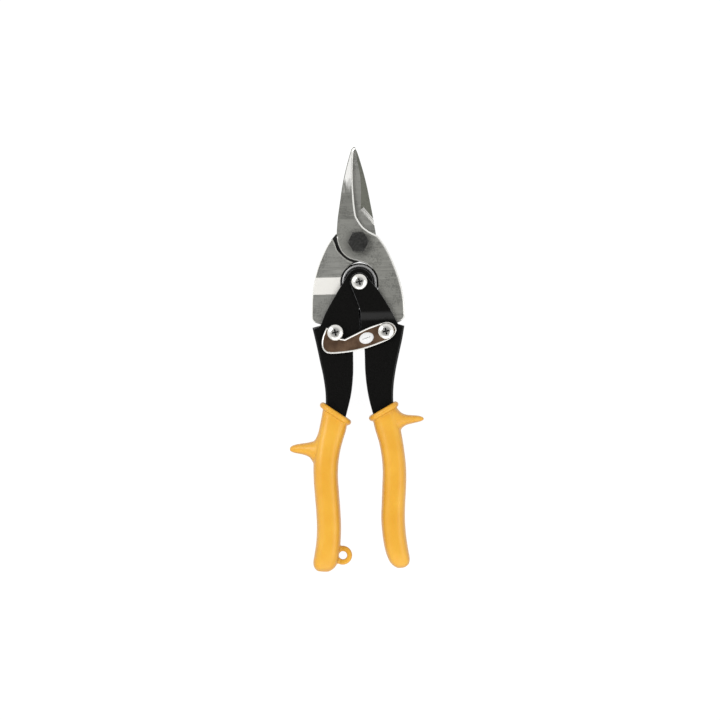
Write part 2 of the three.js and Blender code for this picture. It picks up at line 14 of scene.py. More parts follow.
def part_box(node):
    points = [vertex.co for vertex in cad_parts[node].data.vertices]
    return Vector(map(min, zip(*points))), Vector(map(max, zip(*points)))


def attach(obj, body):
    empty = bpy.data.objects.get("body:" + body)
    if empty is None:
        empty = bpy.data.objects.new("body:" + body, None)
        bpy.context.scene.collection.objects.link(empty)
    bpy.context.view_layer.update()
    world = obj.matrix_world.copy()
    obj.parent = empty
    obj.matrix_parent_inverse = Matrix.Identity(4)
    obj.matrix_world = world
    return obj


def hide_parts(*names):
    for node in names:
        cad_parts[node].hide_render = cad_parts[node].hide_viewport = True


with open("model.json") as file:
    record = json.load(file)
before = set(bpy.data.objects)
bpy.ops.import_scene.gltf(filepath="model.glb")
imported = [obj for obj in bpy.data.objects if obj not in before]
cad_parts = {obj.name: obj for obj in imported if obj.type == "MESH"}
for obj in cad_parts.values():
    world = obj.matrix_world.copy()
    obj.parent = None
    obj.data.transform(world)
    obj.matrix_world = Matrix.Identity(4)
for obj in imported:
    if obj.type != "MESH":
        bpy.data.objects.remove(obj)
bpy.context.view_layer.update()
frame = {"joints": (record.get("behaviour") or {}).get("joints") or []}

# ---- Sizes, in millimetres ----
MM = 0.001
JOINTS = {joint["name"]: Vector(joint.get("pos_m", (0, 0, 0))) / MM for joint in frame["joints"]}


def box_mm(node):
    """Lowest and highest corner of a CAD node, in millimetres."""
    low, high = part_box(node)
    return low / MM, high / MM


MID = JOINTS["jaw_pivot"].z  # the plane where the two blades meet
LEFT_LINK = JOINTS["left_link"]
RIGHT_LINK = JOINTS["right_link"]
CROSSING = (box_mm("handle_pivot_screw")[0] + box_mm("handle_pivot_screw")[1]) / 2
JAW_T = box_mm("front_jaw")[1].z - MID  # one jaw's thickness
TIP_Y = box_mm("front_jaw")[1].y
FLANGE_OUT = box_mm("left_handle")[1].z - MID
EAR_OUT = box_mm("right_handle")[1].z - MID
SHEET_T = 1.8
FLANGE_IN = FLANGE_OUT - SHEET_T
JAW_GAP = 0.15  # from the plane between the blades to each blade's face
GRIND_Y = 13.7  # from here to the tip a blade is ground thinner, the front one a shade darker
CUTOUT_R = 11.2
TANG_END_R = 6.9
LINK_SCREW_R, CROSSING_SCREW_R, PIVOT_BOLT_R = 2.6, 3.0, 3.2
HOLE_FIT, NUT_FIT = 0.3, 0.15  # radial play in a plate and in a nut
OPEN_FIT = 0.9  # radial play of the crossing screw in the right handle
PIVOT_HOLE_R = PIVOT_BOLT_R + HOLE_FIT
LINK_HOLE_R = LINK_SCREW_R + HOLE_FIT
EAR_HOLE_R = CROSSING_SCREW_R + HOLE_FIT
SLOTS = 5  # the most materials that one piece has

# ---- Drawing helpers ----


def smooth_line(points, steps):
    """A smooth open line through the points. Steps says how many steps a stretch of a given
    length takes."""
    pts = [Vector(p) for p in points]
    ends = [2 * pts[0] - pts[1], *pts, 2 * pts[-1] - pts[-2]]
    line = []
    for before, start, end, after in zip(ends, ends[1:], ends[2:], ends[3:]):
        count = steps((end - start).length)
        for i in range(count):
            t = i / count
            line.append(0.5 * (2 * start + (end - before) * t
                               + (2 * before - 5 * start + 4 * end - after) * t ** 2
                               + (3 * start - before - 3 * end + after) * t ** 3))
    return [*line, pts[-1]]


def through(points, step=0.9):
    """A smooth line through the points, with a point about every step millimetres."""
    return smooth_line(points, lambda length: max(1, round(length / step)))


def evenly_through(points, count):
    """A smooth line with the same number of steps between each two of the points."""
    return smooth_line(points, lambda length: count)


def arc(centre, radius, start, end, count):
    """Points on a circle between two angles in degrees."""
    return [Vector((centre[0] + radius * math.cos(math.radians(start + (end - start) * i / count)),
                    centre[1] + radius * math.sin(math.radians(start + (end - start) * i / count))))
            for i in range(count + 1)]


def mirrored(points):
    """The same line on the tool's other side."""
    return [Vector((-p[0], p[1])) for p in points]


def counter_clockwise(outline, weights):
    """The outline and its weights, without repeated points, running counter-clockwise."""
    pairs = [(Vector(p), w) for p, w in zip(outline, weights)]
    pairs = [pair for i, pair in enumerate(pairs) if (pair[0] - pairs[i - 1][0]).length > 1e-3]
    pts = [p for p, w in pairs]
    area = sum(a.x * b.y - b.x * a.y for a, b in zip(pts, pts[1:] + pts[:1]))
    pairs = pairs if area > 0 else pairs[::-1]
    return [p for p, w in pairs], [w for p, w in pairs]


def inset(outline, amount, weights):
    """The outline moved inward by amount times each point's weight."""
    moved = []
    for i, p in enumerate(outline):
        a = (p - outline[i - 1]).normalized()
        b = (outline[(i + 1) % len(outline)] - p).normalized()
        normal = Vector((-a.y - b.y, a.x + b.x)).normalized()
        reach = amount * weights[i] / max(0.5, normal.dot(Vector((-a.y, a.x))))
        moved.append(p + normal * reach)
    return moved


def placed(name, data):
    """A Blender object with the given data, in the scene."""
    made = bpy.data.objects.new(name, data)
    bpy.context.scene.collection.objects.link(made)
    return made


def piece_from(name, bm):
    """A Blender object made from mesh data in millimetres."""
    bmesh.ops.recalc_face_normals(bm, faces=bm.faces)
    bmesh.ops.scale(bm, vec=(MM, MM, MM), verts=bm.verts)
    mesh = bpy.data.meshes.new(name)
    bm.to_mesh(mesh)
    bm.free()
    for _ in range(SLOTS):
        mesh.materials.append(None)
    return placed(name, mesh)


def slab(name, outline, levels, weights=None, rim=(), least=0.0, most=9.0, dull=0):
    """A plate built of rings: levels are (height, inset) from bottom to top. Rim lists the
    steps between rings whose faces take the piece's second material, where the outline's
    weight is between least and most, and the material numbered dull elsewhere."""
    pts, weights = counter_clockwise(outline, weights or [1.0] * len(outline))
    bm = bmesh.new()
    rings = [[bm.verts.new((p.x, p.y, z)) for p in inset(pts, amount, weights)]
             for z, amount in levels]
    for step, (low, high) in enumerate(zip(rings, rings[1:])):
        for i in range(len(low)):
            j = (i + 1) % len(low)
            face = bm.faces.new((low[i], low[j], high[j], high[i]))
            if step in rim:
                face.material_index = 1 if least <= weights[i] <= most else dull
    bm.faces.new(rings[0][::-1])
    bm.faces.new(rings[-1])
    return piece_from(name, bm)


def rounded(z0, z1, radius, count=3):
    """Levels of a plate whose edges are rounded to a radius."""
    turns = [math.radians(90 * i / count) for i in range(count + 1)]
    low = [(z0 + radius * (1 - math.cos(a)), radius * (1 - math.sin(a))) for a in turns]
    return low + [(z0 + z1 - z, amount) for z, amount in reversed(low)]


def loft(name, sections, closed=False):
    """A skin over rings of 3-D points that all have the same count."""
    bm = bmesh.new()
    rings = [[bm.verts.new(p) for p in ring] for ring in sections]
    pairs = list(zip(rings, rings[1:] + rings[:1])) if closed else list(zip(rings, rings[1:]))
    for low, high in pairs:
        for i in range(len(low)):
            j = (i + 1) % len(low)
            bm.faces.new((low[i], low[j], high[j], high[i]))
    if not closed:
        bm.faces.new(rings[0])
        bm.faces.new(rings[-1])
    return piece_from(name, bm)


def round_section(centre, out, across, radius, sides):
    """A circle of points in the plane of two directions."""
    return [centre + radius * (out * math.cos(a) + across * math.sin(a))
            for a in [2 * math.pi * k / sides for k in range(sides)]]


def turned(name, profile, centre, sides=64):
    """A turned piece: profile points are (radius, height), starting and ending on the axis or
    closing on themselves."""
    hollow = profile[0][0] > 0
    bm = bmesh.new()
    rings = []
    for radius, z in profile:
        count = sides if radius > 0 else 1
        rings.append([bm.verts.new((centre.x + radius * math.cos(2 * math.pi * i / sides),
                                    centre.y + radius * math.sin(2 * math.pi * i / sides), z))
                      for i in range(count)])
    pairs = zip(rings, rings[1:] + rings[:1]) if hollow else zip(rings, rings[1:])
    for low, high in pairs:
        for i in range(sides):
            j = (i + 1) % sides
            corners = [low[i % len(low)], low[j % len(low)],
                       high[j % len(high)], high[i % len(high)]]
            bm.faces.new(list(dict.fromkeys(corners)))
    return piece_from(name, bm)


def settle(piece):
    """Applies the piece's modifiers to its mesh."""
    bpy.context.view_layer.update()
    seen = piece.evaluated_get(bpy.context.evaluated_depsgraph_get())
    mesh = bpy.data.meshes.new_from_object(seen)
    old = piece.data
    piece.modifiers.clear()
    piece.data = mesh
    bpy.data.meshes.remove(old)
    return piece


def machine(piece, tool, operation="DIFFERENCE"):
    """Cuts the tool shape out of the piece, or joins it on, and discards the tool shape."""
    step = piece.modifiers.new("machine", "BOOLEAN")
    step.object = tool
    step.operation = operation
    step.solver = "MANIFOLD"
    settle(piece)
    bpy.data.objects.remove(tool)
    return piece


def weighted(*parts):
    """Joins lines, each with its own edge weight, to one outline and its list of weights."""
    outline = [Vector(p) for line, weight in parts for p in line]
    return outline, [weight for line, weight in parts for p in line]


def drill(piece, centre, radius, countersink=0.25):
    """A round hole along Z with a slight chamfer at both mouths."""
    low = min(v.co.z for v in piece.data.vertices) / MM
    high = max(v.co.z for v in piece.data.vertices) / MM
    profile = [(0, low - 1), (radius + countersink + 1, low - 1), (radius, low + countersink),
               (radius, high - countersink), (radius + countersink + 1, high + 1), (0, high + 1)]
    return machine(piece, turned("drill", profile, centre))


def slice_at(piece, points, normal):
    """Adds edges where a plane crosses the piece's faces, at each given point in millimetres."""
    bm = bmesh.new()
    bm.from_mesh(piece.data)
    for point in points:
        bmesh.ops.bisect_plane(bm, geom=[*bm.verts, *bm.edges, *bm.faces], dist=1e-7,
                               plane_co=Vector(point) * MM, plane_no=normal)
    bm.to_mesh(piece.data)
    bm.free()


def slot_outline(centre, turn, long, wide):
    """A narrow rectangle about a centre, turned by some degrees, from its half sizes."""
    spin = Matrix.Rotation(math.radians(turn), 2)
    return [centre + spin @ Vector(p)
            for p in ((long, wide), (-long, wide), (-long, -wide), (long, -wide))]


def paint_floor_shade(piece, centre, z, radius):
    """Paints shade on the faces at a height, within a radius, by giving them the piece's second
    material.
    """
    for polygon in piece.data.polygons:
        middle = polygon.center / MM
        if abs(middle.z - z) < 0.05 and (middle.xy - centre).length < radius:
            polygon.material_index = 1


def finished(piece, node, body, slot, *materials, sharp=35.0):
    """Gives the piece its materials and smooth faces, and puts it in the CAD node's place."""
    for index, material in enumerate(materials):
        piece.data.materials[index] = material
    while len(piece.data.materials) > len(materials):
        piece.data.materials.pop()
    piece.data.shade_smooth()
    piece.data.set_sharp_from_angle(angle=math.radians(sharp))
    even = piece.modifiers.new("even shading", "WEIGHTED_NORMAL")
    even.keep_sharp = True
    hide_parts(node)
    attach(piece, body)
    return piece


# ---- Camera, bench and light ----
VIEW_WIDTH = 432.0
VIEW_CENTRE = (-0.8, -70.6)
VIEW_HEIGHT = 1500.0
VIEW_ROLL = -1.47  # the snips lie turned a little to the left in the view
SENSOR = 36.0

camera = placed("camera", bpy.data.cameras.new("camera"))
camera.data.sensor_width = SENSOR
camera.data.lens = SENSOR * (VIEW_HEIGHT - MID) / VIEW_WIDTH
camera.data.clip_start = 0.01
camera.data.clip_end = 20.0
camera.location = Vector((*VIEW_CENTRE, VIEW_HEIGHT)) * MM
camera.rotation_euler = (0, 0, math.radians(VIEW_ROLL))
bpy.context.scene.camera = camera
bpy.context.scene.view_settings.view_transform = "Standard"
bpy.context.scene.view_settings.look = "None"


# ---- Materials ----
def linear(code):
    """An sRGB hex colour as linear red, green, blue and full alpha."""
    parts = [int(code[i:i + 2], 16) / 255 for i in (1, 3, 5)]
    return (*[c / 12.92 if c <= 0.04045 else ((c + 0.055) / 1.055) ** 2.4 for c in parts], 1.0)


def add(tree, kind, inputs=None, out=0, stops=(), **settings):
    """Adds one node and returns its output. Inputs given a socket are linked and others are
    set, settings are properties, and stops are a colour ramp's places and hex values."""
    made = tree.nodes.new(kind)
    for name, value in settings.items():
        setattr(made, name, value)
    for name, value in (inputs or {}).items():
        if isinstance(value, bpy.types.NodeSocket):
            tree.links.new(value, made.inputs[name])
        else:
            made.inputs[name].default_value = value
    for index, (position, code) in enumerate(stops):
        made.color_ramp.elements[index].position = position
        made.color_ramp.elements[index].color = linear(code)
    return made.outputs[out]


def per_metre(size_mm):
    """Texture scale for a pattern whose grain is that many millimetres."""
    return 1 / (size_mm * MM)


def material_of(name, metallic, **fixed):
    """A new material, with its node tree, its surface shader and its object coordinates."""
    material = bpy.data.materials.new(name)
    material.use_nodes = True
    tree = material.node_tree
    surface = tree.nodes["Principled BSDF"]
    surface.inputs["Metallic"].default_value = metallic
    for socket, value in fixed.items():
        surface.inputs[socket.replace("_", " ")].default_value = value
    return material, tree, surface, add(tree, "ShaderNodeTexCoord", out="Object")


def speckle(tree, place, grain_mm, detail=3.0, stretch=(1, 1, 1)):
    """Noise whose grain has a real size, stretched along an axis where stretch is small."""
    shaped = add(tree, "ShaderNodeMapping", {"Vector": place, "Scale": stretch})
    return add(tree, "ShaderNodeTexNoise",
               {"Vector": shaped, "Scale": per_metre(grain_mm), "Detail": detail})


def relief(tree, surface, heights, depth_mm, strength=1.0):
    """Bumps from a list of height patterns, one on another."""
    below = {}
    for height in heights:
        normal = add(tree, "ShaderNodeBump", {"Height": height, "Strength": strength,
                                              "Distance": depth_mm * MM, **below})
        below = {"Normal": normal}
    tree.links.new(normal, surface.inputs["Normal"])


def coat(tree, surface, tint, colours, gloss, roughness):
    """Colours a surface from one pattern and gives it its roughness from another, each with
    the pattern's low and high value and what those two become."""
    low, high, dark, light = colours
    colour = add(tree, "ShaderNodeValToRGB", {"Fac": tint}, stops=[(low, dark), (high, light)])
    tree.links.new(colour, surface.inputs["Base Color"])
    ends = dict(zip(("From Min", "From Max", "To Min", "To Max"), roughness))
    rough = add(tree, "ShaderNodeMapRange", {"Value": gloss, **ends})
    tree.links.new(rough, surface.inputs["Roughness"])


STEEL_METALLIC = 0.85


def forged_steel(name, dark, light, rough, highlight_from=None):
    """Drop-forged tool steel, tumbled and belt ground: satin grey, with faint cloudy patches,
    fine grinding lines across the jaw, and a painted shadow round the pivot bolt. From
    the given mark to the tip, in millimetres, a bright highlight is painted on the blade, its edge
    ragged."""
    material, tree, surface, place = material_of(name, STEEL_METALLIC)
    clouds = speckle(tree, place, 9.0, 4.0)
    mottle = speckle(tree, place, 0.9, 3.0)
    patches = add(tree, "ShaderNodeMath", {0: clouds, 1: mottle}, operation="ADD")
    # Real grinding lines and pits are under 0.1 mm: these are coarser, so that they show.
    lines = speckle(tree, place, 0.35, 2.0, (0.03, 1, 1))
    pits = speckle(tree, place, 0.5, 5.0)
    # Painted shadow: the steel darkens in a ring round the pivot bolt's head, centred a little
    # below it.
    pivot = add(tree, "ShaderNodeVectorMath", {0: place, 1: Vector((0, -1, MID + JAW_T)) * MM},
                "Value", operation="DISTANCE")
    bolt_shadow = add(tree, "ShaderNodeMapRange", {"Value": pivot, "From Min": 6.2 * MM,
                                           "From Max": 9.5 * MM, "To Min": 0.76})
    patchy = add(tree, "ShaderNodeValToRGB", {"Fac": patches}, stops=[(0.6, dark), (1, light)])
    colour = add(tree, "ShaderNodeMix", {0: 1.0, 6: patchy, 7: bolt_shadow}, 2, data_type="RGBA",
                 blend_type="MULTIPLY")
    if highlight_from:
        y = add(tree, "ShaderNodeSeparateXYZ", {"Vector": place}, "Y")
        ground = add(tree, "ShaderNodeMapRange",
                     {"Value": y, "From Min": (GRIND_Y - 0.2) * MM,
                      "From Max": (GRIND_Y + 0.2) * MM, "To Min": 1.0, "To Max": 0.8})
        darker = add(tree, "ShaderNodeMix", {0: 1.0, 6: colour, 7: ground}, 2,
                     data_type="RGBA", blend_type="MULTIPLY")
        # Painted highlight: from the given mark to the tip the colour goes near white and less
        # metallic, with a ragged edge.
        highlight_ragging = speckle(tree, place, 1.6, 4.0, (1, 0.2, 1))
        shift = add(tree, "ShaderNodeMapRange", {"Value": highlight_ragging, "From Min": 0.3,
                                                 "From Max": 0.7, "To Min": -4 * MM,
                                                 "To Max": 4 * MM})
        ragged = add(tree, "ShaderNodeMath", {0: y, 1: shift}, operation="ADD")
        painted_highlight = add(tree, "ShaderNodeMapRange", {"Value": ragged,
                                                  "From Min": (highlight_from - 3) * MM,
                                                  "From Max": (highlight_from + 5) * MM})
        colour = add(tree, "ShaderNodeMix", {0: painted_highlight, 6: darker, 7: linear("#f4f3f0")}, 2,
                     data_type="RGBA")
        metal = add(tree, "ShaderNodeMapRange",
                    {"Value": painted_highlight, "To Min": STEEL_METALLIC, "To Max": 0.2})
        tree.links.new(metal, surface.inputs["Metallic"])
    tree.links.new(colour, surface.inputs["Base Color"])
    gloss = add(tree, "ShaderNodeMapRange", {"Value": lines, "From Min": 0.3, "From Max": 0.7,
                                             "To Min": rough - 0.05, "To Max": rough + 0.08})
    tree.links.new(gloss, surface.inputs["Roughness"])
    relief(tree, surface, [lines, pits], 0.012)
    return material


def enamel_edge_highlight():
    """A painted highlight on the enamel along the sheet's sheared edges: dark grey, half metallic.
    """
    material, tree, surface, place = material_of("enamel edge, painted highlight", 0.3)
    highlight_patches = speckle(tree, place, 1.2, 5.0)
    coat(tree, surface, highlight_patches, (0.35, 0.7, "#1c1c1d", "#6c6c6e"), highlight_patches, (0.3, 0.7, 0.3, 0.45))
    relief(tree, surface, [highlight_patches], 0.008)
    return material


def ground_edge_highlight():
    """The same steel where a wheel has ground the edge, with a painted highlight: bright, with
    lines along it.
    """
    material, tree, surface, place = material_of("ground steel edge, painted highlight", 0.6)
    lines = speckle(tree, place, 0.5, 3.0)
    coat(tree, surface, lines, (0.3, 0.7, "#e6e5e0", "#fbfaf6"), lines, (0.2, 0.8, 0.16, 0.3))
    relief(tree, surface, [lines], 0.004)
    return material


def mating_face_shadow():
    """Mating face under the pivot, in the trench by the other jaw's head: painted shadow, near
    black and half matt.
    """
    material, tree, surface, place = material_of("painted shadow on mating face", 0.2)
    smear = speckle(tree, place, 2.5, 4.0, (1, 0.4, 1))
    coat(tree, surface, smear, (0.3, 0.7, "#0e0e0d", "#262523"), smear, (0.3, 0.7, 0.4, 0.6))
    relief(tree, surface, [smear], 0.01)
    return material


def reflection_band():
    """A painted reflection on the steel: a plain frosted patch, much paler than the satin round it.
    """
    material, tree, surface, place = material_of("painted reflection band", 0.25)
    frost = speckle(tree, place, 0.25, 4.0)
    coat(tree, surface, frost, (0.3, 0.7, "#dedcd6", "#edebe6"), frost, (0.2, 0.8, 0.5, 0.62))
    relief(tree, surface, [frost], 0.004)
    return material


def black_enamel():
    """Baked enamel on pressed steel: near-black, half gloss, with a faint orange-peel skin."""
    material, tree, surface, place = material_of("baked black enamel", 0.0,
                                                 Specular_IOR_Level=0.25)
    peel = speckle(tree, place, 1.6, 2.0)
    dust = speckle(tree, place, 0.35, 5.0)
    coat(tree, surface, dust, (0.35, 0.75, "#070706", "#0d0c0b"), dust, (0.3, 0.7, 0.24, 0.36))
    relief(tree, surface, [peel, dust], 0.008)
    return material


def bright_nickel():
    """Polished nickel plate on the screws: mirror bright, with a trace of handling marks."""
    material, tree, surface, place = material_of("bright nickel plate", 0.75)
    marks = speckle(tree, place, 0.8, 5.0)
    coat(tree, surface, marks, (0.3, 0.7, "#e4e2dc", "#f6f5f1"), marks, (0.3, 0.7, 0.1, 0.2))
    relief(tree, surface, [marks], 0.006)
    return material


def zinc_plate():
    """Zinc plate on the nuts and washers: pale grey, dull, slightly cloudy."""
    material, tree, surface, place = material_of("zinc plate", 1.0)
    clouds = speckle(tree, place, 1.5, 4.0)
    coat(tree, surface, clouds, (0.3, 0.7, "#989a9a", "#b9bbba"), clouds, (0.3, 0.7, 0.3, 0.45))
    relief(tree, surface, [clouds], 0.006)
    return material


def black_oxide():
    """Black-oxide bolt: charcoal with a dull sheen, a little uneven from the salt bath."""
    material, tree, surface, place = material_of("black oxide, also painted recess shade", 0.75)
    clouds = speckle(tree, place, 1.2, 4.0)
    grit = speckle(tree, place, 0.25, 3.0)
    coat(tree, surface, clouds, (0.3, 0.7, "#2a2a29", "#474745"), grit, (0.3, 0.7, 0.36, 0.52))
    relief(tree, surface, [grit], 0.01)
    return material


def spring_wire():
    """Drawn spring wire: grey, with fine lines from the die."""
    material, tree, surface, place = material_of("drawn spring wire", 1.0)
    lines = speckle(tree, place, 0.4, 3.0)
    coat(tree, surface, lines, (0.3, 0.7, "#9b9b9b", "#bababa"), lines, (0.3, 0.7, 0.42, 0.55))
    relief(tree, surface, [lines], 0.004)
    return material


def dark_nickel():
    """Dark nickel plate on the latch: warm brown-grey, cloudy, with a soft polish."""
    material, tree, surface, place = material_of("dark nickel plate", 0.75)
    clouds = speckle(tree, place, 6.0, 3.0)
    grit = speckle(tree, place, 0.3, 3.0)
    coat(tree, surface, clouds, (0.3, 0.7, "#68503f", "#967860"), grit, (0.3, 0.7, 0.26, 0.36))
    relief(tree, surface, [grit], 0.006)
    return material


def dipped_vinyl():
    """Dipped PVC: warm yellow, satin, with a soft leathery skin and light let in a little. Its
    flanks are painted darker and browner as shade."""
    material, tree, surface, place = material_of("dipped yellow vinyl", 0.0, Subsurface_Weight=0.12,
                                                 Subsurface_Scale=0.002, Specular_IOR_Level=0.4)
    surface.inputs["Subsurface Radius"].default_value = (1.0, 0.55, 0.2)
    clouds = speckle(tree, place, 14.0, 3.0)
    skin = speckle(tree, place, 0.45, 4.0)
    ripple = speckle(tree, place, 5.0, 2.0)
    # Painted shade: faces that turn away from straight up are mixed towards a darker brown-orange.
    normal = add(tree, "ShaderNodeNewGeometry", out="Normal")
    facing = add(tree, "ShaderNodeSeparateXYZ", {"Vector": normal}, "Z")
    flank_shade = add(tree, "ShaderNodeMapRange", {"Value": facing, "From Min": 0.1, "From Max": 0.8,
                                             "To Min": 1.0, "To Max": 0.0})
    unshaded = add(tree, "ShaderNodeValToRGB", {"Fac": clouds},
                stops=[(0.3, "#e3a532"), (0.7, "#eab13d")])
    flank_shaded = add(tree, "ShaderNodeMix", {0: flank_shade, 6: unshaded, 7: linear("#c48c2c")}, 2,
                  data_type="RGBA")
    tree.links.new(flank_shaded, surface.inputs["Base Color"])
    gloss = add(tree, "ShaderNodeMapRange", {"Value": skin, "From Min": 0.3, "From Max": 0.7,
                                             "To Min": 0.3, "To Max": 0.42})
    tree.links.new(gloss, surface.inputs["Roughness"])
    relief(tree, surface, [ripple, skin], 0.02, 0.6)
    return material


STEEL = forged_steel("satin forged steel", "#8a8a85", "#bdbdb7", 0.34)
# The front jaw's steel carries a painted highlight from 34 mm up to the tip.
FRONT_STEEL = forged_steel("satin forged steel, buffed tip", "#85857f", "#bbbbb4", 0.34, 34.0)
# A darker copy of the jaw steel: on the back blade's hollow, and as painted shade on the dull
# chamfers of both jaws.
HOLLOW_AND_SHADE_STEEL = forged_steel("ground hollow steel, painted edge shade", "#585952", "#74756c", 0.5)
GROUND_EDGE_HIGHLIGHT = ground_edge_highlight()
PAINTED_REFLECTION = reflection_band()
MATING_SHADOW = mating_face_shadow()
ENAMEL = black_enamel()
ENAMEL_HIGHLIGHT = enamel_edge_highlight()
NICKEL = bright_nickel()
ZINC = zinc_plate()
# The same dark also goes in the screws' cross recesses and the thumb bump's slot as painted shade.
OXIDE_AND_RECESS_SHADE = black_oxide()
WIRE = spring_wire()
LATCH_PLATE = dark_nickel()
VINYL = dipped_vinyl()

# ---- Jaws ----
TIP = (-1.1, TIP_Y)
front_blade_edge = through([(-2.6, TIP_Y - 1.2), (-3.8, 52.5), (-6.4, 43.6), (-8.7, 34.0),
                            (-10.3, 24.5), (-11.9, 14.9), (-12.7, 7.0)])
front_head = through([(-12.8, 3.6), (-12.1, -1.0), (-9.6, -6.2), (-5.6, -9.6), (0.3, -11.6),
                      (4.0, -12.9), (7.2, -15.3)])
front_cut = through([(6.2, 6.5), (3.0, 9.2), (0.3, 13.1), (-1.2, 17.0), (-2.1, 27.0),
                     (-2.5, 37.0), (-2.2, 47.4), (-1.5, 55.0)])
right_tang_edge = through([(26.9, -43.4), (26.4, -34.0), (24.6, -24.5), (21.6, -15.0),
                           (17.4, -5.2), (14.4, -0.2), (11.6, 3.6)])
back_blade_edge = through([(-0.2, TIP_Y - 1.0), (1.0, 53.2), (3.8, 43.3), (6.0, 33.6),
                           (7.7, 24.0), (9.3, 14.3), (10.4, 6.6)])
back_head = through([(11.0, 2.6), (10.9, -1.6), (9.0, -6.6), (5.2, -10.1), (0, -11.6),
                     (-4.0, -12.9), (-7.2, -15.3)])
back_cut = through([(-7.4, 7.3), (-4.6, 9.6), (-3.2, 13.4), (-3.0, 20.0), (-3.5, 34.0),
                    (-3.4, 45.0), (-2.5, 54.2)])
left_tang_edge = through([(-29.1, -44.2), (-28.5, -32.7), (-27.1, -23.1), (-24.3, -13.6),
                          (-20.1, -4.2), (-17.2, 0.6), (-13.4, 5.2)])

tang_inside = [
    *arc(CROSSING, CUTOUT_R, 44, 2, 20),
    *through([(CUTOUT_R, CROSSING.y - 8), (RIGHT_LINK.x - TANG_END_R, RIGHT_LINK.y + 7)]),
    *arc(RIGHT_LINK, TANG_END_R, 180, 350, 30),
]
right_foot = through([(22.1, -48.8), (23.8, -48.1), (25.4, -47.2), (26.4, -45.9), (26.8, -44.4)],
                     0.4)
left_foot = through([(-22.6, -49.2), (-24.6, -48.4), (-27.0, -47.6), (-28.3, -46.7),
                     (-28.9, -45.4)], 0.4)
# Angle and reach of the head's outline round the pivot, which the recess follows.
HEAD_SWEEP = ((200, 12.5), (213, 11.8), (226, 11.5), (240, 11.4), (254, 11.4))
SHOULDER_GAP = 1.1
SHOULDER_TOP = {1: [(14.25, -0.6)], -1: [(-15.3, 2.3), (-14.4, 0.0), (-13.6, -2.3)]}


def shoulder(side):
    """The recess that the other jaw's head turns in, from its outer end to the coil."""
    return through([*SHOULDER_TOP[side],
                    *[(-side * (r + SHOULDER_GAP) * math.cos(math.radians(a)),
                       (r + SHOULDER_GAP) * math.sin(math.radians(a))) for a, r in HEAD_SWEEP]])


def tang_outline(side):
    """The full-thickness part of a jaw: its tang, up to the shoulder that the other jaw's
    head turns against."""
    edge = right_tang_edge if side > 0 else left_tang_edge
    foot = right_foot if side > 0 else left_foot
    inside = tang_inside if side > 0 else mirrored(tang_inside)
    recess = shoulder(side)
    top = [p for p in edge if p[1] < recess[0].y - 0.2]
    return weighted((recess, 2.0), ([p for p in inside if p[1] < recess[-1].y - 1], 0.4),
                    (foot, 1.0), (top, 1.0))


CHAMFER = 0.8
NICK = 0.1
BRIGHT = 0.7  # edges with at least this weight are ground bright, with a painted highlight


def jaw(name, outline, weights, side):
    """One jaw: a half-thickness blade and head, and a full-thickness tang."""
    if side > 0:
        low, high = MID + JAW_GAP, MID + JAW_T
        levels = [(low, NICK), (low + NICK, 0), (high - CHAMFER, 0), (high, CHAMFER)]
        tang_levels = [(MID - JAW_T, 0.6), (MID - JAW_T + 0.6, 0), (high - 1.5 * CHAMFER, 0)]
    else:
        low, high = MID - JAW_T, MID - JAW_GAP
        levels = [(low, CHAMFER), (low + CHAMFER, 0), (high - NICK, 0), (high, NICK)]
        tang_levels = [(low + 1.5 * CHAMFER, 0), (MID + JAW_T - 0.6, 0), (MID + JAW_T, 0.6)]
    # Rim faces whose weight is under BRIGHT take slot 3, the darker steel: painted shade on those
    # chamfers.
    body = slab(name, outline, levels, weights, rim=(2,) if side > 0 else (0,), least=BRIGHT,
                dull=3)
    tang_edge, tang_weights = tang_outline(side)
    tang = slab("tang", tang_edge, [(z, amount - 0.01) for z, amount in tang_levels],
                tang_weights, rim=(0,) if side > 0 else (1,), least=BRIGHT, most=1.6)
    machine(body, tang, "UNION")
    drill(body, Vector((0, 0)), PIVOT_HOLE_R)
    return drill(body, RIGHT_LINK if side > 0 else LEFT_LINK, LINK_HOLE_R)


BLADE_TIP_T = 1.9
STEP_LENGTH = 0.35
STEP_DROP = 0.06  # share of the thickness that the grinding step takes off


def thin_to_tip(piece):
    """Thins the blade from a faint grinding step above the pivot to its tip."""
    rows = [GRIND_Y - STEP_LENGTH, GRIND_Y,
            *(GRIND_Y + (TIP_Y - GRIND_Y) * i / 12 for i in range(1, 12))]
    slice_at(piece, [(0, y, 0) for y in rows], (0, 1, 0))
    for vertex in piece.data.vertices:
        y = vertex.co.y / MM
        step = STEP_DROP * min(1.0, max(0.0, (y - rows[0]) / STEP_LENGTH))
        along = max(0.0, (y - GRIND_Y) / (TIP_Y - GRIND_Y))
        share = 1 - step - (1 - STEP_DROP - BLADE_TIP_T / JAW_T) * along ** 1.35
        vertex.co.z = MID * MM + (vertex.co.z - MID * MM) * share


